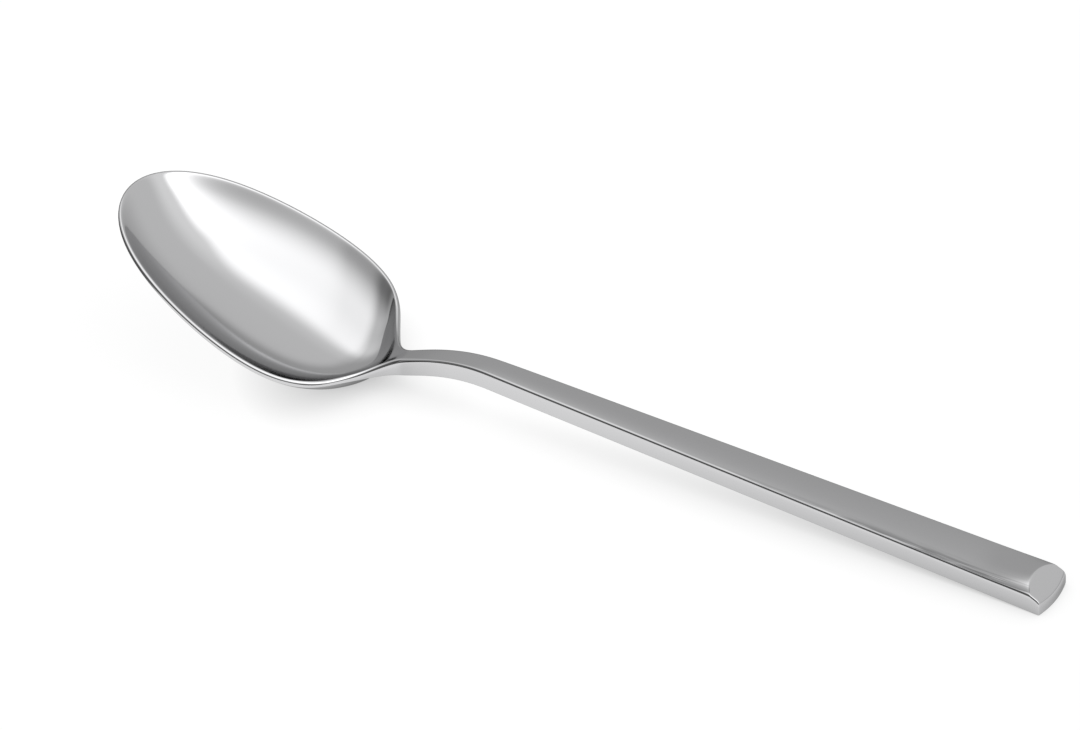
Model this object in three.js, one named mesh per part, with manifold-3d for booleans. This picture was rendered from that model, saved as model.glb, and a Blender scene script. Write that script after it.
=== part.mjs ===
// Teaspoon in polished stainless steel: an egg-shaped bowl butt-welded at the neck to a slim bar handle.
// Millimetres. +X runs from the bowl's tip to the handle's end, +Y across, +Z up.
// The spoon lies on z = 0, on the heel of the bowl and the end of the handle, with its middle at x = 0.
import * as THREE from 'three';
import { mergeVertices } from 'three/addons/utils/BufferGeometryUtils.js';
import Module from 'manifold-3d';

// Overall
const LENGTH = 140;

// Bowl, in plan
const BOWL_WIDTH = 29.4;
const BOWL_LENGTH = 38.5; // tip to the end of the heel, as an egg without the neck
const WIDEST = 24.3; // tip to the widest place
const EGG_FULLNESS = 0.11; // 0 is a plain egg, more is fuller towards both ends
const FLANK_ANGLE = 150.5; // degrees round the egg, from the tip, where it runs into the neck's fillet
const FLANK_PULL = 4; // how firmly the egg's flank leads into that fillet

// Bowl, in height
const TIP_HEIGHT = 19.6; // rim over the table at the tip
const TIP_SLOPE = 0.42; // fall of the rim behind the tip
const TIP_EASE = 15.7; // length over which that slope leads
const HEEL_HEIGHT = 4.4; // rim over the table at the heel, its lowest place
const HEEL_EASE = 3.7; // length of the level run into the heel
const DISH_DEPTH = 4.9; // hollow under the rim at the widest place
const DISH_FULLNESS = 5; // 2 is a paraboloid along the bowl, more is fuller towards the tip and the heel
const DISH_ARCH = 0.9; // 1 is a plain arch across the bowl, less is steeper at the rim
const DISH_RUN = 1.6; // how far the hollow runs on past the egg, towards the neck
const BELLY_DEPTH = 5.155; // belly under the rim's outer edge at the widest place
const BELLY_RUN = 2; // how far the belly runs on under the neck
const BELLY_BLEND = 4; // how tightly the belly runs into the neck's underside
const RIM_LAND = 0.45; // width of the flat on the rim
const RIM_SIDE = 0.7; // height of the rim's outer edge

// Neck
const NECK_WIDTH = 3.05;
const NECK_FILLET = 4.8; // length of the fillet between the heel and the neck
const FILLET_PULL = 3.1; // how firmly the neck leads into that fillet
const NECK_RISE = 18.4; // heel to the bar's shoulder
const NECK_LIFT = 3.6; // level run before the neck climbs
const NECK_CREST = 8.5; // run of the crest before the shoulder
const SHOULDER_HEIGHT = 8.3; // bar's upper edge over the table, at its shoulder
const WELD_OFFSET = 4; // weld plane, behind the narrowest place
const SIDE_FADE = 9; // length over which the bar's side thins to the rim's edge
const SIDE_LEAD = 2; // how far behind the heel that thinning starts

// Handle
const BAR_START = 20; // narrowest place to the straight taper
const BAR_START_WIDTH = 4.05;
const BAR_END_WIDTH = 7.5;
const BAR_SIDE = 2.55; // height of the flat sides
const CROWN = 0.1; // rise of the rounded top over the upper edges, along the bar
const END_CROWN = 0.55; // and at the end facet
const CROWN_GROWTH = 12; // length over which it grows
const CROWN_FLATNESS = 2.2; // 2 is a plain arch, more is flatter in the middle
const CROWN_SHOULDER = 0.85; // below 1 the top rolls over into the upper edges
const END_BULGE = 0.5; // rounding of the end, in plan
const END_FACET_ANGLE = 26.5; // degrees, slant of the polished facet on the end
const END_FACET_REACH = 3.1; // length of that facet on the centre line

// Finish
const STEEL_COLOUR = 0xc8c9ca;
const BOWL_ROUGHNESS = 0.16;
const HANDLE_ROUGHNESS = 0.2;

// Fineness of the surfaces
const EGG_STEPS = 26;
const FLANK_STEPS = 7;
const STUB_STEPS = 2;
const NECK_STEPS = 8;
const BAR_STEPS = 6;
const END_STEPS = 6;
const ACROSS = 16;
const END_ARC_STEPS = 12;

// Places along the spoon
const tipX = -LENGTH / 2;
const endX = LENGTH / 2;
const heelX = tipX + BOWL_LENGTH;
const widestX = tipX + WIDEST;
const hollowEnds = [tipX + RIM_LAND, heelX + DISH_RUN];
const bellyEnds = [tipX, heelX + BELLY_RUN];
const neckX = heelX + NECK_FILLET;
const weldX = neckX + WELD_OFFSET;
const shoulderX = heelX + NECK_RISE;
const barX = neckX + BAR_START;
const facetX = endX - END_FACET_REACH;
const growthX = facetX - CROWN_GROWTH;
const bowlHalf = BOWL_WIDTH / 2;
const barSlope = (SHOULDER_HEIGHT - BAR_SIDE) / (endX - shoulderX);
const barTaper = (BAR_END_WIDTH - BAR_START_WIDTH) / 2 / (endX - barX);

const smooth = (from, to, x) => THREE.MathUtils.smoothstep(x, from, to);
const plan = (x, y) => new THREE.Vector2(x, y);

// Height of the upper edge: the bowl's rim, the neck's climb, then the straight bar.
const rimCurve = new THREE.CubicBezierCurve(
  plan(tipX, TIP_HEIGHT),
  plan(tipX + TIP_EASE, TIP_HEIGHT - TIP_SLOPE * TIP_EASE),
  plan(heelX - HEEL_EASE, HEEL_HEIGHT),
  plan(heelX, HEEL_HEIGHT),
);
const neckRise = new THREE.CubicBezierCurve(
  plan(heelX, HEEL_HEIGHT),
  plan(heelX + NECK_LIFT, HEEL_HEIGHT),
  plan(shoulderX - NECK_CREST, SHOULDER_HEIGHT + barSlope * NECK_CREST),
  plan(shoulderX, SHOULDER_HEIGHT),
);

function heightOn(curve, x) {
  let low = 0;
  let high = 1;
  while (high - low > 1e-9) {
    const middle = (low + high) / 2;
    if (curve.getPoint(middle).x < x) low = middle;
    else high = middle;
  }
  return curve.getPoint(low).y;
}

function edgeHeight(x) {
  if (x < heelX) return heightOn(rimCurve, x);
  if (x < shoulderX) return heightOn(neckRise, x);
  return BAR_SIDE + barSlope * (endX - x);
}

// Half-width of the neck and the bar.
function barHalf(x) {
  if (x > barX) return BAR_START_WIDTH / 2 + barTaper * (x - barX);
  const lead = BAR_START_WIDTH / 2 - (barTaper * BAR_START) / 3;
  const curve = new THREE.CubicBezierCurve(
    plan(0, NECK_WIDTH / 2),
    plan(1 / 3, NECK_WIDTH / 2),
    plan(2 / 3, lead),
    plan(1, BAR_START_WIDTH / 2),
  );
  return curve.getPoint((x - neckX) / BAR_START).y;
}

// Plan outline of one side, from the tip to the neck's narrowest place.
const flank = THREE.MathUtils.degToRad(FLANK_ANGLE);
const skew = (2 * WIDEST) / BOWL_LENGTH - 1;
class Egg extends THREE.Curve {
  getPoint(t) {
    const along = -Math.cos(t * flank);
    const oval = Math.sqrt((1 - along ** 2) / (1 - 2 * skew * along + skew ** 2));
    const full = 1 + EGG_FULLNESS * (along - skew) ** 2;
    return plan(tipX + (BOWL_LENGTH / 2) * (1 + along), bowlHalf * oval * full);
  }
}
const egg = new Egg();
const flankStart = egg.getPoint(1);
const flankFillet = new THREE.CubicBezierCurve(
  flankStart,
  flankStart.clone().addScaledVector(egg.getTangent(1), FLANK_PULL),
  plan(neckX - FILLET_PULL, NECK_WIDTH / 2),
  plan(neckX, NECK_WIDTH / 2),
);

// Stations carry a point of the outer outline and the rim's inner edge beside it.
function outlineStations(curve, steps, first) {
  const stations = [];
  for (let i = first; i <= steps; i += 1) {
    const outer = curve.getPoint(i / steps);
    const along = curve.getTangent(i / steps);
    const inner = plan(outer.x + along.y * RIM_LAND, Math.max(outer.y - along.x * RIM_LAND, 0));
    stations.push({ outer, inner });
  }
  return stations;
}

function barStations(from, to, steps, first) {
  const stations = [];
  for (let i = first; i <= steps; i += 1) {
    const x = from + ((to - from) * i) / steps;
    const half = barHalf(x);
    stations.push({ outer: plan(x, half), inner: plan(x, half - RIM_LAND) });
  }
  return stations;
}

const crownRise = (x) => CROWN * smooth(neckX, barX, x) + (END_CROWN - CROWN) * smooth(growthX, facetX, x);
const sideHeight = (x) => THREE.MathUtils.lerp(
  RIM_SIDE,
  BAR_SIDE,
  smooth(heelX + SIDE_LEAD - SIDE_FADE, heelX + SIDE_LEAD, x),
);

// Depth of a pressed form, as a share: an arch across, and full along the bowl.
function pressed(x, y, half, [from, to]) {
  if (x <= from || x >= to || Math.abs(y) >= half) return 0;
  const run = x < widestX ? (widestX - x) / (widestX - from) : (x - widestX) / (to - widestX);
  return (1 - run ** DISH_FULLNESS) * (1 - (y / half) ** 2) ** DISH_ARCH;
}

function topHeight(x, y, outerHalf, innerHalf) {
  const hollow = DISH_DEPTH * pressed(x, y, innerHalf, hollowEnds);
  const across = Math.min(Math.abs(y) / outerHalf, 1);
  const crown = crownRise(x) * (1 - across ** CROWN_FLATNESS) ** CROWN_SHOULDER;
  return edgeHeight(x) - hollow + crown;
}

function undersideHeight(x, y, half) {
  const neck = sideHeight(x) - RIM_SIDE;
  const belly = BELLY_DEPTH * pressed(x, y, half, bellyEnds);
  return edgeHeight(x) - RIM_SIDE - (neck ** BELLY_BLEND + belly ** BELLY_BLEND) ** (1 / BELLY_BLEND);
}

// One closed ring of the spoon's skin: across the top, down one side, back underneath.
function ring({ outer, inner }) {
  const points = [new THREE.Vector3(outer.x, outer.y, edgeHeight(outer.x))];
  for (let j = 0; j <= ACROSS; j += 1) {
    const y = inner.y * Math.cos((Math.PI * j) / ACROSS);
    const half = Math.max(outer.y, RIM_LAND);
    points.push(new THREE.Vector3(inner.x, y, topHeight(inner.x, y, half, inner.y)));
  }
  points.push(new THREE.Vector3(outer.x, -outer.y, edgeHeight(outer.x)));
  for (let j = 0; j <= ACROSS; j += 1) {
    const y = -outer.y * Math.cos((Math.PI * j) / ACROSS);
    points.push(new THREE.Vector3(outer.x, y, undersideHeight(outer.x, y, outer.y)));
  }
  return points;
}

// Closed solid through a row of rings. A ring that shrinks to a tip needs no cap.
function loft(rings) {
  const corners = [];
  const size = rings[0].length;
  for (let i = 0; i + 1 < rings.length; i += 1) {
    for (let j = 0; j < size; j += 1) {
      const next = (j + 1) % size;
      const [a, b] = [rings[i][j], rings[i][next]];
      const [d, c] = [rings[i + 1][j], rings[i + 1][next]];
      corners.push(a, b, d, b, c, d);
    }
  }
  const cap = (points, flip) => {
    const flat = points.map((p) => plan(p.y, p.z));
    for (const face of THREE.ShapeUtils.triangulateShape(flat, [])) {
      const turned = flip ? [...face].reverse() : face;
      corners.push(...turned.map((k) => points[k]));
    }
  };
  const width = (points) => Math.max(...points.map((p) => p.y));
  if (width(rings[0]) > 0) cap(rings[0], true);
  cap(rings[rings.length - 1], false);
  return welded(new THREE.BufferGeometry().setFromPoints(corners));
}

// Shared corners are merged, and faces that the tip has shrunk to nothing are left out.
function welded(geometry) {
  geometry.deleteAttribute('normal');
  geometry.deleteAttribute('uv');
  const merged = mergeVertices(geometry, 1e-4);
  const kept = [];
  for (let i = 0; i < merged.index.count; i += 3) {
    const [a, b, c] = [0, 1, 2].map((k) => merged.index.getX(i + k));
    if (a !== b && b !== c && c !== a) kept.push(a, b, c);
  }
  merged.setIndex(kept);
  return merged;
}

const wasm = await Module();
wasm.setup();

function solid(geometry) {
  const vertProperties = new Float32Array(geometry.attributes.position.array);
  const triVerts = new Uint32Array(geometry.index.array);
  return new wasm.Manifold(new wasm.Mesh({ numProp: 3, vertProperties, triVerts }));
}

function geometryOf(manifold) {
  const { vertProperties, triVerts } = manifold.getMesh();
  const geometry = new THREE.BufferGeometry();
  geometry.setAttribute('position', new THREE.BufferAttribute(vertProperties, 3));
  geometry.setIndex(new THREE.BufferAttribute(triVerts, 1));
  return geometry;
}

function bowlGeometry() {
  const stations = [
    ...outlineStations(egg, EGG_STEPS, 0),
    ...outlineStations(flankFillet, FLANK_STEPS, 1),
    ...barStations(neckX, weldX, STUB_STEPS, 1),
  ];
  return loft(stations.map(ring));
}

// The bar runs long, then its end is rounded in plan and the slanted facet is taken off.
function handleGeometry() {
  const spare = END_FACET_REACH;
  const stations = [
    ...barStations(weldX, barX, NECK_STEPS, 0),
    ...barStations(barX, growthX, BAR_STEPS, 1),
    ...barStations(growthX, facetX, END_STEPS, 1),
    ...barStations(facetX, endX + spare, 1, 1),
  ];
  const bar = solid(loft(stations.map(ring)));

  const cornerX = endX - END_BULGE;
  const half = BAR_END_WIDTH;
  const bend = (barHalf(cornerX) ** 2 + END_BULGE ** 2) / (2 * END_BULGE);
  const sweep = Math.asin(half / bend);
  const outline = new THREE.Shape();
  outline.moveTo(weldX - spare, half);
  outline.lineTo(weldX - spare, -half);
  outline.absarc(endX - bend, 0, bend, -sweep, sweep, false);
  const tall = TIP_HEIGHT;
  const envelope = new THREE.ExtrudeGeometry(outline, {
    depth: 2 * tall,
    bevelEnabled: false,
    curveSegments: END_ARC_STEPS,
  });
  envelope.translate(0, 0, -tall);

  const facetZ = topHeight(facetX, 0, barHalf(facetX), barHalf(facetX) - RIM_LAND);
  const facetCut = new THREE.BoxGeometry(4 * END_FACET_REACH, 2 * BAR_END_WIDTH, 2 * BAR_SIDE);
  facetCut.translate(2 * END_FACET_REACH - END_BULGE, 0, BAR_SIDE);
  facetCut.rotateY(THREE.MathUtils.degToRad(END_FACET_ANGLE));
  facetCut.translate(facetX, 0, facetZ);

  return geometryOf(bar.intersect(solid(welded(envelope))).subtract(solid(welded(facetCut))));
}

function steel(roughness) {
  return new THREE.MeshStandardMaterial({ color: STEEL_COLOUR, metalness: 1, roughness });
}

const spoon = new THREE.Group();
const bowl = new THREE.Mesh(bowlGeometry(), steel(BOWL_ROUGHNESS));
bowl.name = 'bowl';
const handle = new THREE.Mesh(handleGeometry(), steel(HANDLE_ROUGHNESS));
handle.name = 'handle';
spoon.add(bowl, handle);

// Set the spoon down on the table.
const lowest = new THREE.Box3().setFromObject(spoon).min.z;
spoon.position.z = -lowest;

export default spoon;
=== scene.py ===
# Teaspoon in polished stainless steel: one seamless skin over the CAD solids, a pale table and soft light.
import math

import bmesh
import bpy
from mathutils import Matrix, Vector


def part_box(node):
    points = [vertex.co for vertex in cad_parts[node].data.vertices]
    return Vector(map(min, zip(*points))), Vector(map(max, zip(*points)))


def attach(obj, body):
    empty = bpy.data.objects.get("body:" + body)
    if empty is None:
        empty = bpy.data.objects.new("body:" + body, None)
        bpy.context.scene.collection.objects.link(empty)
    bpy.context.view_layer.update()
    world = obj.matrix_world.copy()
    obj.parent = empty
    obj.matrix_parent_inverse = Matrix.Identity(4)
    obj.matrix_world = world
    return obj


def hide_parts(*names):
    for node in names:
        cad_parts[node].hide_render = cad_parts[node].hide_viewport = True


MM = 0.001  # sizes below are in millimetres, as in the CAD

# Bowl, in plan
BOWL_LENGTH = 38.5  # tip to the end of the heel, as an egg without the neck
WIDEST = 24.3  # tip to the widest place
EGG_FULLNESS = 0.11  # 0 is a plain egg, more is fuller towards both ends
FLANK_ANGLE = 150.5  # degrees round the egg, from the tip, where it runs into the neck's fillet
FLANK_PULL = 4  # how firmly the egg's flank leads into that fillet

# Bowl, in height
TIP_SLOPE = 0.42  # fall of the rim behind the tip
TIP_EASE = 15.7  # length over which that slope leads
HEEL_HEIGHT = 4.4  # rim over the table at the heel
HEEL_EASE = 3.7  # length of the level run into the heel
DISH_DEPTH = 4.9  # hollow under the rim at the widest place
DISH_FULLNESS = 5  # 2 is a paraboloid along the bowl, more is fuller towards the tip and the heel
DISH_ARCH = 0.9  # 1 is a plain arch across the bowl, less is steeper at the rim
DISH_RUN = 1.6  # how far the hollow runs on past the egg, towards the neck
DISH_LIP = 0.02  # rounding of the hollow's lip, as a share of its depth
HEEL_DIP = 1.1  # depth of the slope on which the hollow runs out into the neck
HEEL_DIP_RUN = 2.8  # length of that slope past the hollow
BELLY_DEPTH = 5.155  # belly under the rim's outer edge at the widest place
BELLY_RUN = 2  # how far the belly runs on under the neck
BELLY_BLEND = 4  # how tightly the belly runs into the neck's underside
RIM_LAND = 0.45  # width of the flat on the rim
RIM_SIDE = 0.7  # height of the rim's outer edge

# Neck
NECK_WIDTH = 3.05
NECK_FILLET = 4.8  # length of the fillet between the heel and the neck
FILLET_PULL = 3.1  # how firmly the neck leads into that fillet
NECK_RISE = 18.4  # heel to the bar's shoulder
NECK_LIFT = 3.6  # level run before the neck climbs
NECK_CREST = 8.5  # run of the crest before the shoulder
SHOULDER_HEIGHT = 8.3  # bar's upper edge over the table, at its shoulder
SIDE_FADE = 8  # length over which the bar's side thins to the rim's edge
SIDE_LEAD = 5.5  # how far behind the heel that thinning starts

# Handle
BAR_START = 20  # narrowest place to the straight taper
BAR_START_WIDTH = 4.05
BAR_END_WIDTH = 7.5
BAR_SIDE = 2.55  # height of the flat sides
CROWN = 0.1  # rise of the rounded top over the upper edges, along the bar
END_CROWN = 0.55  # and at the end facet
CROWN_GROWTH = 4.5  # length over which it grows
CROWN_FLATNESS = 2.2  # 2 is a plain arch, more is flatter in the middle
CROWN_SHOULDER = 0.85  # below 1 the top rolls over into the upper edges
END_BULGE = 0.5  # rounding of the end, in plan
FACET_ANGLE = 26.5  # degrees, slant of the polished facet on the end
FACET_REACH = 3.1  # length of that facet on the centre line

# Polished edges: quarter rounds, with their width in plan and their height
RIM_ROLL = 0.42
HEEL_ROLL = 0.7
BAR_ROLL = 0.25
EDGE_FALL = 0.5
FLANK_FALL = 0.26  # along the bowl's flanks
HEEL_FALL = 0.9
FLANK_FADE = 9  # length behind the tip over which the flanks' height comes in
HEEL_FADE = 6  # length before the heel over which the rounds change again

# Skin's cage: how far the holding loops stand from an edge
LIP_HOLD = 0.12
FACET_HOLD = 0.06
END_HOLD = 0.9
END_HOLD_FLATNESS = 4  # more keeps that distance further towards the end's corners
FOOT_HOLD = 0.12
FOOT_SHARE = 0.25  # the most that a foot's loop takes of a low wall
LAST_RIB = 1  # facet to the last plain rib of the bar

# Skin's cage: fineness
EGG_RIBS = 40
FILLET_RIBS = 20
NECK_RIBS = 14
BAR_RIBS = 18
ACROSS = 10  # columns from the spine to the rim's lip
ROUND = 3  # columns round a rolled edge
SKIN_LEVELS = 2
FOCUS = 10  # tip to the place where the ribs of the tip meet
HEEL_RUN = 4.5  # heel to the place where the fillet's ribs start on the spine
SPINE_EVEN = 0.35  # share of even spacing in how the ribs meet the spine
HALVINGS = 40  # rounds of halving in a search along a curve
TINY = 1e-4  # step for a curve's direction, and the distance at which points are one

# Camera, matched to the photograph: degrees, then millimetres
AZIMUTH = 32.9
ELEVATION = 36.83
ROLL = -3.26
DISTANCE = 800
AIM_RIGHT = -5.52
AIM_UP = 10.51
LENS = 202.1
SENSOR = 36
NEAREST = 10  # where the camera's view starts

# Room light, as a share of white
WHITE = "FFFFFF"
PANEL = 0.36  # overhead panel
PANEL_LIFT = 0.2  # how much brighter it is past its middle
PANEL_RISE = 0.63  # and on towards the handle's end
PANEL_EDGE = 0.14  # and inside its back edge
APRON = 0.27  # soft light round the panel
WALL = 0.75  # wall behind the spoon
WALL_BASE = 0.78  # what is left of it near the table
WALL_DIM = 0.685  # and beyond the bowl's tip
CAMERA_SIDE = 0.127
CAMERA_LEFT = 0.45  # the camera's side, beyond the bowl's tip
DARK = 0.06  # what is left at the room's far end

# Where that light changes along the spoon: degrees from straight up, towards the handle's end
PANEL_START = -32, -10
PANEL_MIDDLE = 5, 11
PANEL_LENGTH = 11, 60
PANEL_BEND = 6, 26
PANEL_SKEW = 12.4  # how far the panel's back edge comes forward over that bend
PANEL_TAIL = 22, 56
PANEL_TAIL_SKEW = 7  # and over the tail
APRON_START = -83, -30
WALL_CHANGE = -28, -7
CAMERA_CHANGE = -66, -50
DARK_EDGE = -90, -80
DARK_REACH = 14  # how much further in the dark end comes nearer the camera

# Where it changes across the spoon: degrees from straight up, away from the camera
PANEL_FRONT = -50, -5
PANEL_INSIDE = 6, 26
PANEL_BACK = 26.7, 38.7
APRON_BACK = 26, 48
WALL_FOOT = -25, 0
WALL_LOW = 66, 92
DARK_LEAN = 50, 64

# White table: own glow, a painted glow that changes by place in the steel, and a painted shadow near the
# spoon, to the eye and in the steel
TABLE_SIZE = 6000
TABLE_WHITE = "F4F4F4"
TABLE_SHADE = "606060"  # what it takes of the room's light besides its glow
TABLE_GLOW = 0.93
TABLE_BACK = 0.74  # painted glow in the steel beyond the spoon
TABLE_FRONT = 1  # and before it
FRONT_EDGE = -12, 2
TABLE_LEFT = -82, -72  # the painted glow in the steel fades out here, past the bowl's tip
TABLE_FAR = 20, 45  # and here, behind the spoon
TABLE_DIM = 0.35
CONTACT_REACH = 6
CONTACT = 0.25  # strength of the painted shadow where the spoon is near, to the eye
# and that painted shadow as the steel sees it
SHEEN_REACH = 8
SHEEN_CONTACT = 0.5
CONTACT_SAMPLES = 16

# Polished steel
STEEL = "CBCBCC"
STEEL_PAINTED_DARK = "747475"  # painted shade in the streaks beside the handle's edge, standing in for a dark reflection
STEEL_EDGE = "CBCBCB"  # at grazing angles
LINE_LENGTH = 14
LINE_WIDTH = 0.3  # real polishing lines are too fine for a render, so these are as coarse as they need be
LINE_DEPTH = 0.0004
HAZE_SIZE = 9
HAZE_RANGE = 0.35, 0.65  # part of the pattern over which the haze changes
HAZE = 0.06, 0.085  # roughness from the clearest to the haziest place
STREAK_LENGTH = 45
STREAK_WIDTH = 0.45
STREAK_DEPTH = 0.012
STREAK_RANGE = 0.38, 0.6  # part of the pattern over which a streak comes in
STREAK_BETWEEN = 0.25  # share of the streaks' painted shade and relief that is left between them
STREAK_START = 10  # along the handle
STREAK_LEAD = 20  # how far before that they fade in
STREAK_REACH = 0.4, 2.4  # in from the upper edge, at the start and at the end
TOP_FACING = 0.9, 0.94  # how far upwards the handle's top faces, at least
PATTERN_DETAIL = 2

EASED = {"interpolation_type": "SMOOTHSTEP"}

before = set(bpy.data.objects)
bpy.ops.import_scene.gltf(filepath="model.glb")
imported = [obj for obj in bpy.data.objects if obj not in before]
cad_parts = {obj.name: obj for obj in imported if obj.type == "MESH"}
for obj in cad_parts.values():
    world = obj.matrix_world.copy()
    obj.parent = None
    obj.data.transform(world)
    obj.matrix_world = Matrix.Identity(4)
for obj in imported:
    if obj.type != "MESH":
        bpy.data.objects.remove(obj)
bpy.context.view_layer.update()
bowl_low, bowl_high = [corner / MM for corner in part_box("bowl")]
handle_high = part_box("handle")[1] / MM

# Places along the spoon
tip_x = bowl_low.x
tip_height = bowl_high.z
bowl_half = bowl_high.y
end_x = handle_high.x
heel_x = tip_x + BOWL_LENGTH
neck_x = heel_x + NECK_FILLET
widest_x = tip_x + WIDEST
shoulder_x = heel_x + NECK_RISE
bar_x = neck_x + BAR_START
facet_x = end_x - FACET_REACH
bar_slope = (SHOULDER_HEIGHT - BAR_SIDE) / (end_x - shoulder_x)
bar_taper = (BAR_END_WIDTH - BAR_START_WIDTH) / 2 / (end_x - bar_x)
facet_slope = math.tan(math.radians(FACET_ANGLE))
egg_skew = 2 * WIDEST / BOWL_LENGTH - 1
flank = math.radians(FLANK_ANGLE)


def smooth(low, high, x):
    t = min(max((x - low) / (high - low), 0), 1)
    return t * t * (3 - 2 * t)


def blend(start, stop, share):
    return start + (stop - start) * share


def bezier(points, t):
    a, b, c, d = points
    s = 1 - t
    return a * s**3 + b * (3 * s * s * t) + c * (3 * s * t * t) + d * t**3


def height_on(points, x):
    """Height of a curve that runs along the spoon, at one place."""
    low, high = 0.0, 1.0
    for _ in range(HALVINGS):
        middle = (low + high) / 2
        if bezier(points, middle).x < x:
            low = middle
        else:
            high = middle
    return bezier(points, low).y


rim_curve = [
    Vector((tip_x, tip_height)),
    Vector((tip_x + TIP_EASE, tip_height - TIP_SLOPE * TIP_EASE)),
    Vector((heel_x - HEEL_EASE, HEEL_HEIGHT)),
    Vector((heel_x, HEEL_HEIGHT)),
]
neck_rise = [
    Vector((heel_x, HEEL_HEIGHT)),
    Vector((heel_x + NECK_LIFT, HEEL_HEIGHT)),
    Vector((shoulder_x - NECK_CREST, SHOULDER_HEIGHT + bar_slope * NECK_CREST)),
    Vector((shoulder_x, SHOULDER_HEIGHT)),
]
neck_flare = [
    Vector((0, NECK_WIDTH / 2)),
    Vector((1 / 3, NECK_WIDTH / 2)),
    Vector((2 / 3, BAR_START_WIDTH / 2 - bar_taper * BAR_START / 3)),
    Vector((1, BAR_START_WIDTH / 2)),
]


def edge_height(x):
    """Height of the spoon's upper edge: the bowl's rim, the neck's climb, then the straight bar."""
    if x < heel_x:
        return height_on(rim_curve, x)
    if x < shoulder_x:
        return height_on(neck_rise, x)
    return BAR_SIDE + bar_slope * (end_x - x)


def bar_half(x):
    """Half-width of the neck and the bar."""
    if x > bar_x:
        return BAR_START_WIDTH / 2 + bar_taper * (x - bar_x)
    return bezier(neck_flare, (x - neck_x) / BAR_START).y


def egg(turn):
    """Plan point of the bowl's outline at an angle round it from the tip."""
    along = -math.cos(turn)
    oval = math.sqrt((1 - along**2) / (1 - 2 * egg_skew * along + egg_skew**2))
    full = 1 + EGG_FULLNESS * (along - egg_skew) ** 2
    return Vector((tip_x + BOWL_LENGTH / 2 * (1 + along), bowl_half * oval * full))


flank_start = egg(flank)
flank_lead = (flank_start - egg(flank - TINY)).normalized()
fillet = [
    flank_start,
    flank_start + flank_lead * FLANK_PULL,
    Vector((neck_x - FILLET_PULL, NECK_WIDTH / 2)),
    Vector((neck_x, NECK_WIDTH / 2)),
]


def outline(place):
    """Plan point and inward normal of one side: 0 to 1 round the egg, 1 to 2 along the neck's fillet."""
    if place <= 1:
        point, ahead = egg(place * flank), egg((place + TINY) * flank)
    else:
        point, ahead = bezier(fillet, place - 1), bezier(fillet, place - 1 + TINY)
    along = (ahead - point).normalized()
    return point, Vector((along.y, -along.x))


def half_width(x, inset=0):
    """Half-width of the spoon, or of the part that lies inside its edge."""
    if x >= neck_x:
        return bar_half(x) - inset
    low, high = 0.0, 2.0
    for _ in range(HALVINGS):
        middle = (low + high) / 2
        point, inward = outline(middle)
        if point.x + inward.x * inset < x:
            low = middle
        else:
            high = middle
    point, inward = outline(low)
    return max(point.y + inward.y * inset, 0)


def pressed(x, y, half, start, stop):
    """Depth of a pressed form, as a share: an arch across, and full along the bowl."""
    if abs(y) >= half or not start < x < stop:
        return 0
    run = (widest_x - x) / (widest_x - start) if x < widest_x else (x - widest_x) / (stop - widest_x)
    return (1 - run**DISH_FULLNESS) * (1 - (y / half) ** 2) ** DISH_ARCH


def heel_dip(x, y):
    """Slope at the hollow's end, down which the neck's top runs into it."""
    stop = heel_x + DISH_RUN
    along = smooth(heel_x - HEEL_EASE, heel_x, x) * (1 - smooth(heel_x, stop + HEEL_DIP_RUN, x))
    half = half_width(x, RIM_LAND)
    if along == 0 or abs(y) >= half:
        return 0
    return HEEL_DIP * along * (1 - (y / half) ** 2)


def crown_height(x, y):
    """Rise of the bar's top over its upper edges."""
    rise = CROWN * smooth(neck_x, bar_x, x) + (END_CROWN - CROWN) * smooth(facet_x - CROWN_GROWTH, facet_x, x)
    across = min(abs(y) / bar_half(x), 1)
    return rise * (1 - across**CROWN_FLATNESS) ** CROWN_SHOULDER


def top_height(x, y):
    height = edge_height(x)
    if x < neck_x:
        share = pressed(x, y, half_width(x, RIM_LAND), tip_x + RIM_LAND, heel_x + DISH_RUN)
        eased = (math.hypot(share, DISH_LIP) - DISH_LIP) / (math.hypot(1, DISH_LIP) - DISH_LIP)
        return height - math.hypot(DISH_DEPTH * eased, heel_dip(x, y))
    facet = edge_height(facet_x) + END_CROWN - facet_slope * (x - facet_x)
    return min(height + crown_height(x, y), facet)


def side_height(x):
    return blend(RIM_SIDE, BAR_SIDE, smooth(heel_x + SIDE_LEAD - SIDE_FADE, heel_x + SIDE_LEAD, x))


def underside_height(x, y):
    if x > neck_x:
        return edge_height(x) - side_height(x)
    neck = side_height(x) - RIM_SIDE
    belly = BELLY_DEPTH * pressed(x, y, half_width(x), tip_x, heel_x + BELLY_RUN)
    return edge_height(x) - RIM_SIDE - (neck**BELLY_BLEND + belly**BELLY_BLEND) ** (1 / BELLY_BLEND)


def facet_edge(y):
    """Place along the bar where its top meets the end facet."""
    fall = END_CROWN - crown_height(facet_x, y)
    return facet_x + fall / (facet_slope - bar_slope)


def end_edge(y):
    """Place along the bar of its rounded end."""
    return end_x - END_BULGE * (2 * y / BAR_END_WIDTH) ** 2


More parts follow.
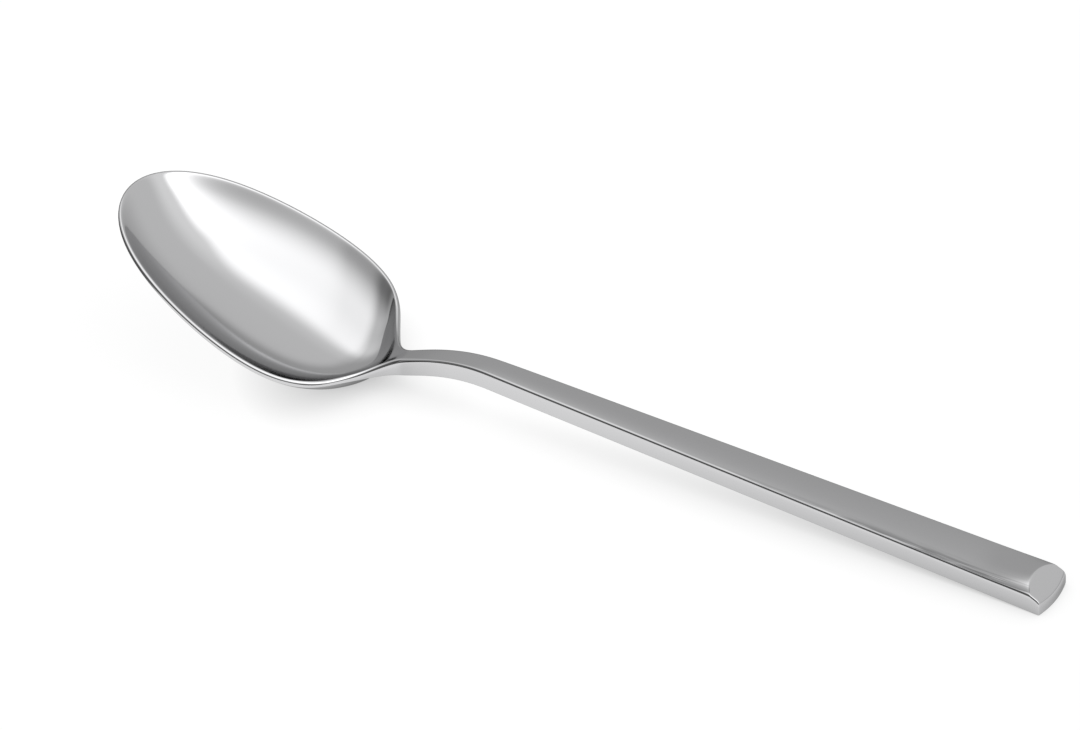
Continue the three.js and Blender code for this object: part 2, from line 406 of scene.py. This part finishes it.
def rib_columns(edge, inward, spine_x):
    """Points of one rib from the spine out to the edge: plan, and how far the rolled edge falls."""
    before_heel = smooth(heel_x - HEEL_FADE, heel_x, edge.x)
    on_flank = smooth(tip_x, tip_x + FLANK_FADE, edge.x) * (1 - before_heel)
    at_heel = before_heel * (1 - smooth(heel_x, neck_x + NECK_FILLET, edge.x))
    roll = blend(blend(RIM_ROLL, BAR_ROLL, smooth(heel_x, bar_x, edge.x)), HEEL_ROLL, at_heel)
    fall = blend(blend(EDGE_FALL, FLANK_FALL, on_flank), HEEL_FALL, at_heel)
    inner = edge + inward * (max(RIM_LAND, roll) + LIP_HOLD)
    points = [Vector((spine_x, 0)).lerp(inner, k / ACROSS).to_3d() for k in range(ACROSS + 1)]
    for k in range(ROUND + 1):
        turn = math.pi / 2 * k / ROUND
        plan = edge + inward * roll * (1 - math.sin(turn))
        points.append(Vector((plan.x, plan.y, fall * (1 - math.cos(turn)))))
    return points


def bowl_ribs():
    """Ribs round the egg, which meet the spine from the tip's focus on, then along the neck's fillet."""
    ribs = []
    focus_x = tip_x + FOCUS
    fillet_x = heel_x - HEEL_RUN
    for i in range(EGG_RIBS + 1):
        share = i / EGG_RIBS
        spine_share = blend(share**2, share, SPINE_EVEN)
        ribs.append(rib_columns(*outline(share), blend(focus_x, fillet_x, spine_share)))
    for i in range(1, FILLET_RIBS):
        share = i / FILLET_RIBS
        ribs.append(rib_columns(*outline(1 + share), blend(fillet_x, neck_x, share)))
    return ribs


def bar_ribs():
    """Straight ribs along the neck and the bar, then bent ones at the facet and the end."""
    inward = Vector((0, -1))
    places = [neck_x + BAR_START * i / NECK_RIBS for i in range(NECK_RIBS)]
    places += [blend(bar_x, facet_x - LAST_RIB, i / BAR_RIBS) for i in range(BAR_RIBS + 1)]
    ribs = [rib_columns(Vector((x, bar_half(x))), inward, x) for x in places]
    last = rib_columns(Vector((end_x, bar_half(end_x))), inward, end_x)
    bends = [
        lambda y: facet_edge(y) - FACET_HOLD,
        lambda y: facet_edge(y) + FACET_HOLD,
        lambda y: (facet_edge(y) + end_edge(y)) / 2,
        lambda y: end_edge(y) - END_HOLD,
        end_edge,
    ]
    for bend in bends:
        rib = []
        for point in last:
            x = bend(point.y)
            rib.append(Vector((x, point.y * bar_half(x) / bar_half(end_x), point.z)))
        ribs.append(rib)
    return ribs


def press_upper_face(bm):
    """A flat blank, cut to the ribs and pressed to the spoon's upper face."""
    ribs = bowl_ribs() + bar_ribs()
    columns = len(ribs[0]) - 1
    bmesh.ops.create_grid(bm, x_segments=len(ribs) - 1, y_segments=2 * columns, size=1)
    focus = None
    for vert in bm.verts:
        i = round((vert.co.x + 1) / 2 * (len(ribs) - 1))
        j = round(vert.co.y * columns)
        place = ribs[i][abs(j)]
        vert.co = (place.x, math.copysign(place.y, j), top_height(place.x, place.y) - place.z)
        if i == 0 and j == 0:
            focus = vert
    bmesh.ops.dissolve_verts(bm, verts=[focus])
    bmesh.ops.remove_doubles(bm, verts=bm.verts, dist=TINY)


def wall_loops(x, y, low, high):
    """Heights of two loops round the walls: one holds the foot, one the middle, or at the end the facet."""
    hold = (high - low) / 2
    if x > end_edge(y) - TINY:
        hold = blend(FOOT_HOLD, END_HOLD, 1 - (2 * y / BAR_END_WIDTH) ** END_HOLD_FLATNESS)
    foot = min(FOOT_HOLD, (high - low) * FOOT_SHARE)
    return low + foot, high - hold


def add_underside(bm):
    """A second face under the first, and walls between them, made in the same order each run."""
    rim = [edge for edge in bm.edges if edge.is_boundary]
    columns = {}
    for vert in bm.verts[:]:
        x, y, top = vert.co
        bottom = underside_height(x, abs(y))
        heights = []
        if vert.is_boundary:
            # From the top down, or up by the heel, where the round falls just past the wall's foot
            low, high = sorted((top, bottom))
            heights = sorted(wall_loops(x, y, low, high), reverse=top > bottom)
        columns[vert] = [vert] + [bm.verts.new((x, y, z)) for z in heights + [bottom]]
    for face in bm.faces[:]:
        bm.faces.new([columns[vert][-1] for vert in face.verts])
    for edge in rim:
        left, right = [columns[vert] for vert in edge.verts]
        for k in range(len(left) - 1):
            bm.faces.new((left[k], right[k], right[k + 1], left[k + 1]))


def spoon_mesh():
    """Cage of the whole spoon, in metres as the frame is."""
    bm = bmesh.new()
    press_upper_face(bm)
    add_underside(bm)
    bmesh.ops.recalc_face_normals(bm, faces=bm.faces)
    bmesh.ops.scale(bm, vec=(MM, MM, MM), verts=bm.verts)
    for face in bm.faces:
        face.smooth = True
    mesh = bpy.data.meshes.new("spoon_skin")
    bm.to_mesh(mesh)
    bm.free()
    return mesh


def linear(hex_colour):
    """sRGB hex as a linear colour with full alpha."""
    channels = [int(hex_colour[k : k + 2], 16) / 255 for k in (0, 2, 4)]
    return [c / 12.92 if c <= 0.04045 else ((c + 0.055) / 1.055) ** 2.4 for c in channels] + [1]


def add_node(tree, kind, inputs=(), **settings):
    """One shader node. Its inputs go by order or by name: each is a value, or an output to link."""
    node = tree.nodes.new(kind)
    for name, value in settings.items():
        setattr(node, name, value)
    for socket, value in inputs.items() if isinstance(inputs, dict) else enumerate(inputs):
        if isinstance(value, bpy.types.NodeSocket):
            tree.links.new(value, node.inputs[socket])
        else:
            node.inputs[socket].default_value = value
    return node.outputs


def new_material(name):
    """Empty material, its nodes, and the place on a piece in millimetres."""
    material = bpy.data.materials.new(name)
    material.use_nodes = True
    tree = material.node_tree
    tree.nodes.clear()
    metres = add_node(tree, "ShaderNodeTexCoord")["Object"]
    place = add_node(tree, "ShaderNodeVectorMath", {0: metres, "Scale": 1 / MM}, operation="SCALE")[0]
    return material, tree, place


def polished_stainless():
    """Stainless steel, buffed to a mirror: neutral grey that takes its tones from the room.

    Fine lines run along the spoon, the mirror is a little hazier in places, and streaks fan out beside one
    upper edge of the handle towards its end, in relief as a buffing wheel leaves them, and darker by painted
    shade for a dark reflection.
    """
    material, tree, place = new_material("polished_stainless")
    axes = add_node(tree, "ShaderNodeSeparateXYZ", [place])
    normal = add_node(tree, "ShaderNodeTexCoord")["Normal"]
    facing = add_node(tree, "ShaderNodeSeparateXYZ", [normal])["Z"]

    # Cloudy patterns, drawn out along the spoon
    patterns = []
    for length, width in ((LINE_LENGTH, LINE_WIDTH), (HAZE_SIZE, HAZE_SIZE), (STREAK_LENGTH, STREAK_WIDTH)):
        drawn = add_node(tree, "ShaderNodeVectorMath", [place, (length, width, width)], operation="DIVIDE")[0]
        cloud = {"Vector": drawn, "Scale": 1, "Detail": PATTERN_DETAIL}
        patterns.append(add_node(tree, "ShaderNodeTexNoise", cloud)[0])
    lines, haze, streaks_and_painted_shade = patterns
    haze = add_node(tree, "ShaderNodeMapRange", [haze, *HAZE_RANGE, *HAZE], **EASED)[0]

    # Streaks, where the handle's top comes near one upper edge: relief, and painted shade in the colour
    widths = BAR_START_WIDTH / 2, BAR_END_WIDTH / 2
    half = add_node(tree, "ShaderNodeMapRange", [axes["X"], bar_x, end_x, *widths])[0]
    gap = add_node(tree, "ShaderNodeMath", [half, axes["Y"]], operation="ADD")[0]
    reach = add_node(tree, "ShaderNodeMapRange", [axes["X"], STREAK_START, end_x, *STREAK_REACH])[0]
    away = add_node(tree, "ShaderNodeMath", [gap, reach], operation="DIVIDE")[0]
    streaks_and_painted_shade = add_node(tree, "ShaderNodeMapRange", [streaks_and_painted_shade, *STREAK_RANGE, STREAK_BETWEEN, 1], **EASED)[0]
    for value, none, full in (
        (away, 1, 0),
        (axes["X"], STREAK_START - STREAK_LEAD, end_x),
        (facing, *TOP_FACING),
    ):
        share = add_node(tree, "ShaderNodeMapRange", [value, none, full, 0, 1], **EASED)[0]
        streaks_and_painted_shade = add_node(tree, "ShaderNodeMath", [streaks_and_painted_shade, share], operation="MULTIPLY")[0]

    # A colour mix takes its two colours on sockets 6 and 7, and gives the mix on output 2
    # Painted shade: in the streaks the steel's colour is mixed towards a darker grey, standing in for a dark
    # reflection
    colours = {0: streaks_and_painted_shade, 6: linear(STEEL), 7: linear(STEEL_PAINTED_DARK)}
    colour = add_node(tree, "ShaderNodeMix", colours, data_type="RGBA")[2]
    relief = {"Height": lines, "Strength": 1, "Distance": LINE_DEPTH * MM}
    surface = add_node(tree, "ShaderNodeBump", relief)[0]
    relief = {"Height": streaks_and_painted_shade, "Strength": 1, "Distance": STREAK_DEPTH * MM, "Normal": surface}
    surface = add_node(tree, "ShaderNodeBump", relief)[0]
    steel = {
        "Base Color": colour,
        "Metallic": 1,
        "Roughness": haze,
        "Normal": surface,
        "Specular Tint": linear(STEEL_EDGE),
    }
    shader = add_node(tree, "ShaderNodeBsdfPrincipled", steel)[0]
    add_node(tree, "ShaderNodeOutputMaterial", {"Surface": shader})
    return material


spoon = bpy.data.objects.new("spoon_skin", spoon_mesh())
bpy.context.scene.collection.objects.link(spoon)
smoothing = spoon.modifiers.new("skin", "SUBSURF")
smoothing.levels = SKIN_LEVELS
smoothing.render_levels = SKIN_LEVELS
spoon.data.materials.append(polished_stainless())
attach(spoon, "root")
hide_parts("bowl", "handle")


def white_table():
    """Matt white laminate: white to the eye, with a painted glow in the steel that fades by place, and a soft
    shadow that is partly painted near the spoon.
    """
    material, tree, place = new_material("white_table")
    axes = add_node(tree, "ShaderNodeSeparateXYZ", [place])

    # Painted glow in the steel: full before the spoon, dimmer beyond and behind it, dark past the bowl's tip
    glows = TABLE_FRONT, TABLE_BACK
    sheen = add_node(tree, "ShaderNodeMapRange", [axes["Y"], *FRONT_EDGE, *glows], **EASED)[0]
    for axis, span, levels in ((axes["X"], TABLE_LEFT, (DARK, 1)), (axes["Y"], TABLE_FAR, (1, TABLE_DIM))):
        share = add_node(tree, "ShaderNodeMapRange", [axis, *span, *levels], **EASED)[0]
        sheen = add_node(tree, "ShaderNodeMath", [sheen, share], operation="MULTIPLY")[0]

    # Plain white for the room's light, and a glow of its own for each kind of ray that shows it, darkened
    # where the spoon is near: a painted shadow
    path = add_node(tree, "ShaderNodeLightPath")
    shader = add_node(tree, "ShaderNodeBsdfDiffuse", {"Color": linear(TABLE_WHITE)})[0]
    for ray, glow, reach, contact in (
        ("Is Camera Ray", TABLE_GLOW, CONTACT_REACH, CONTACT),
        ("Is Glossy Ray", sheen, SHEEN_REACH, SHEEN_CONTACT),
        ("Is Transmission Ray", TABLE_GLOW, CONTACT_REACH, CONTACT),
    ):
        near = {"Distance": reach * MM}
        # Painted contact shadow: the glow dims with the occlusion found near the spoon
        openness = add_node(tree, "ShaderNodeAmbientOcclusion", near, samples=CONTACT_SAMPLES)["AO"]
        shadow = add_node(tree, "ShaderNodeMath", [openness, contact], operation="POWER")[0]
        strength = add_node(tree, "ShaderNodeMath", [shadow, glow], operation="MULTIPLY")[0]
        light = add_node(tree, "ShaderNodeEmission", {"Strength": strength})[0]
        shade = add_node(tree, "ShaderNodeBsdfDiffuse", {"Color": linear(TABLE_SHADE)})[0]
        look = add_node(tree, "ShaderNodeAddShader", [shade, light])[0]
        shader = add_node(tree, "ShaderNodeMixShader", [path[ray], shader, look])[0]
    add_node(tree, "ShaderNodeOutputMaterial", {"Surface": shader})
    return material


bm = bmesh.new()
bmesh.ops.create_grid(bm, x_segments=1, y_segments=1, size=TABLE_SIZE / 2 * MM)
table_mesh = bpy.data.meshes.new("table")
bm.to_mesh(table_mesh)
bm.free()
table = bpy.data.objects.new("table", table_mesh)
table.data.materials.append(white_table())
bpy.context.scene.collection.objects.link(table)


def studio_world():
    """Soft room light by direction: a broad panel overhead, a grey wall behind, a dim camera side."""
    world = bpy.data.worlds.new("studio")
    world.use_nodes = True
    tree = world.node_tree
    tree.nodes.clear()

    # Angles from straight up
    direction = add_node(tree, "ShaderNodeTexCoord")["Generated"]
    axes = add_node(tree, "ShaderNodeSeparateXYZ", [direction])
    angles = []
    for axis in ("X", "Y"):
        angle = add_node(tree, "ShaderNodeMath", [axes[axis], axes["Z"]], operation="ARCTAN2")[0]
        angles.append(add_node(tree, "ShaderNodeMath", [angle], operation="DEGREES")[0])
    along, across = angles

    # Panel, with a back edge that comes forward in two bends
    slant = across
    for span, shift in ((PANEL_BEND, PANEL_SKEW), (PANEL_TAIL, PANEL_TAIL_SKEW)):
        bend = add_node(tree, "ShaderNodeMapRange", [along, *span, 0, shift], **EASED)[0]
        slant = add_node(tree, "ShaderNodeMath", [slant, bend], operation="ADD")[0]
    panel = add_node(tree, "ShaderNodeMapRange", [along, *PANEL_LENGTH, 0, PANEL_RISE])[0]
    for angle, span, gain in (
        (along, PANEL_START, PANEL),
        (along, PANEL_MIDDLE, PANEL_LIFT),
        (across, PANEL_INSIDE, PANEL_EDGE),
    ):
        more = add_node(tree, "ShaderNodeMapRange", [angle, *span, 0, gain], **EASED)[0]
        panel = add_node(tree, "ShaderNodeMath", [panel, more], operation="ADD")[0]
    share = add_node(tree, "ShaderNodeMapRange", [slant, *PANEL_BACK, 1, 0], **EASED)[0]
    panel = add_node(tree, "ShaderNodeMath", [panel, share], operation="MULTIPLY")[0]

    # Apron of soft light, which ends in front where the panel does
    apron = add_node(tree, "ShaderNodeMapRange", [along, *APRON_START, 0, APRON], **EASED)[0]
    share = add_node(tree, "ShaderNodeMapRange", [across, *APRON_BACK, 1, 0], **EASED)[0]
    apron = add_node(tree, "ShaderNodeMath", [apron, share], operation="MULTIPLY")[0]
    overhead = add_node(tree, "ShaderNodeMath", [panel, apron], operation="ADD")[0]
    share = add_node(tree, "ShaderNodeMapRange", [across, *PANEL_FRONT, 0, 1], **EASED)[0]
    overhead = add_node(tree, "ShaderNodeMath", [overhead, share], operation="MULTIPLY")[0]

    # Wall behind and the camera's side, with the room's dark end leaning in towards the camera
    sides = CAMERA_LEFT, CAMERA_SIDE
    front = add_node(tree, "ShaderNodeMapRange", [along, *CAMERA_CHANGE, *sides], **EASED)[0]
    wall = add_node(tree, "ShaderNodeMapRange", [across, *WALL_FOOT, front, WALL], **EASED)[0]
    lean = add_node(tree, "ShaderNodeMapRange", [across, *DARK_LEAN, DARK_REACH, 0], **EASED)[0]
    leaning = add_node(tree, "ShaderNodeMath", [along, lean], operation="SUBTRACT")[0]
    for angle, span, levels in (
        (across, WALL_LOW, (1, WALL_BASE)),
        (along, WALL_CHANGE, (WALL_DIM, 1)),
        (leaning, DARK_EDGE, (DARK, 1)),
    ):
        share = add_node(tree, "ShaderNodeMapRange", [angle, *span, *levels], **EASED)[0]
        wall = add_node(tree, "ShaderNodeMath", [wall, share], operation="MULTIPLY")[0]

    light = add_node(tree, "ShaderNodeMath", [overhead, wall], operation="ADD")[0]
    room = add_node(tree, "ShaderNodeBackground", {"Color": linear(WHITE), "Strength": light})[0]
    add_node(tree, "ShaderNodeOutputWorld", {"Surface": room})
    bpy.context.scene.world = world


studio_world()


def place_camera():
    azimuth, elevation = math.radians(AZIMUTH), math.radians(ELEVATION)
    back = Vector((
        math.sin(azimuth) * math.cos(elevation),
        -math.cos(azimuth) * math.cos(elevation),
        math.sin(elevation),
    ))
    right = Matrix.Rotation(math.radians(ROLL), 3, back) @ Vector((math.cos(azimuth), math.sin(azimuth), 0))
    up = back.cross(right)
    data = bpy.data.cameras.new("photo_camera")
    data.sensor_width = SENSOR
    data.lens = LENS
    data.clip_start = NEAREST * MM
    camera = bpy.data.objects.new("photo_camera", data)
    turn = Matrix((right, up, back)).transposed().to_4x4()
    place = (back * DISTANCE + right * AIM_RIGHT + up * AIM_UP) * MM
    camera.matrix_world = Matrix.Translation(place) @ turn
    bpy.context.scene.collection.objects.link(camera)
    bpy.context.scene.camera = camera


place_camera()
bpy.context.scene.view_settings.view_transform = "Standard"
